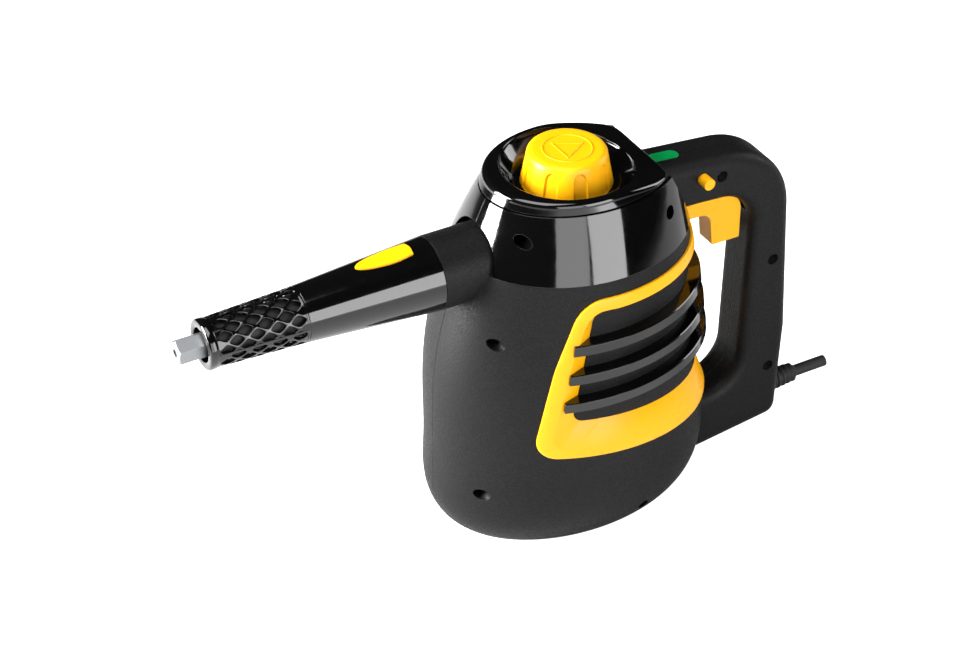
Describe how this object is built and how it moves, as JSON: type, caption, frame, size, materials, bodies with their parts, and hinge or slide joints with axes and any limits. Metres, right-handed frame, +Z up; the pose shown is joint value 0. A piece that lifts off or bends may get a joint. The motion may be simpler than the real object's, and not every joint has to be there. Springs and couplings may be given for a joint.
{
  "type": "handheld steamer",
  "caption": "Handheld pressurised steamer with a tapered jet nozzle, loop handle with trigger, screw filler cap and side vents with fins.",
  "frame": {"origin": "on the ground under the filler cap's axis", "axes": "+Z up, the nozzle points along -X, the shells part on the plane Y = 0"},
  "size_m": [0.4265, 0.1352, 0.2402],
  "materials": {
    "case_matt": "fine spark-eroded texture, matt",
    "case_gloss": "polished",
    "yellow": "satin",
    "lens_green": "polished",
    "lamp_glass": "clear",
    "brass": "turned",
    "aluminium": "cast",
    "steel": "bright zinc plated",
    "tip_steel": "satin",
    "silicone": "moulded",
    "black_rubber": "moulded",
    "cord_pvc": "satin",
    "wire_pvc": "satin",
    "terminal": "moulded"
  },
  "bodies": {
    "casing": {"left_shell": "case_matt", "right_shell": "case_matt", "left_shroud": "case_gloss", "right_shroud": "case_gloss", "filler_bowl": "case_gloss", "left_vent_frame": "yellow", "right_vent_frame": "yellow", "left_vent_panel": "case_matt", "right_vent_panel": "case_matt", "left_vent_fins": "case_gloss", "right_vent_fins": "case_gloss", "filler_neck": "brass", "boiler_upper": "aluminium", "boiler_lower": "aluminium", "boiler_gasket": "silicone", "boiler_screws": "steel", "heating_element": "steel", "thermostat": "terminal", "thermal_fuse": "steel", "steam_valve_body": "brass", "valve_spring": "steel", "inlet_pipe": "brass", "outlet_pipe": "brass", "steam_outlet": "brass", "tube_seal": "silicone", "trigger_pin": "steel", "indicator_lens": "lens_green", "indicator_lamp": "lamp_glass", "cord_boot": "black_rubber", "power_cord": "cord_pvc", "cord_clamp": "terminal", "clamp_screws": "steel", "terminal_block": "terminal", "supply_wires": "wire_pvc", "rubber_feet": "black_rubber", "shell_screws": "steel", "shroud_screws": "steel"},
    "cap_lift": {"cap_seal": "silicone"},
    "filler_cap": {"filler_cap_knob": "yellow", "filler_cap_plug": "brass", "relief_valve": "brass"},
    "nozzle": {"nozzle_cone": "case_gloss", "nozzle_sleeve": "case_gloss", "nozzle_tip": "tip_steel", "nozzle_tube": "brass", "release_spring": "steel"},
    "release_button": {"release_button": "yellow"},
    "trigger": {"trigger": "yellow"},
    "valve_stem": {"valve_stem": "steel"},
    "lock_button": {"lock_button": "yellow"}
  },
  "joints": [
    {"name": "cap_lift_slide", "type": "slide", "parent": "casing", "child": "cap_lift", "axis": [0, 0, 1], "range_m": [0, 0.0121]},
    {"name": "cap_turn", "type": "hinge", "parent": "cap_lift", "child": "filler_cap", "pos_m": [0, 0, 0.2186], "axis": [0, 0, 1], "range_deg": [0, 1440]},
    {"name": "nozzle_pull", "type": "slide", "parent": "casing", "child": "nozzle", "axis": [-1, 0, 0], "range_m": [0, 0.03]},
    {"name": "release_press", "type": "slide", "parent": "nozzle", "child": "release_button", "axis": [0, 0, -1], "range_m": [0, 0.0015], "stiffness_N_per_m": 400},
    {"name": "trigger_pull", "type": "hinge", "parent": "casing", "child": "trigger", "pos_m": [0.072, 0, 0.191], "axis": [0, -1, 0], "range_deg": [0, 4.5], "stiffness_Nm_per_rad": 0.6},
    {"name": "valve_push", "type": "slide", "parent": "casing", "child": "valve_stem", "axis": [0, 0, -1], "range_m": [0, 0.0016], "deforming": ["valve_spring"]},
    {"name": "lock_slide", "type": "slide", "parent": "casing", "child": "lock_button", "axis": [0, 1, 0], "range_m": [0, 0.006]}
  ],
  "couplings": [
    {"joint": "cap_lift_slide", "follows": "cap_turn", "m_per_rad": 0.00047746},
    {"joint": "valve_push", "follows": "trigger_pull", "m_per_rad": 0.018}
  ]
}
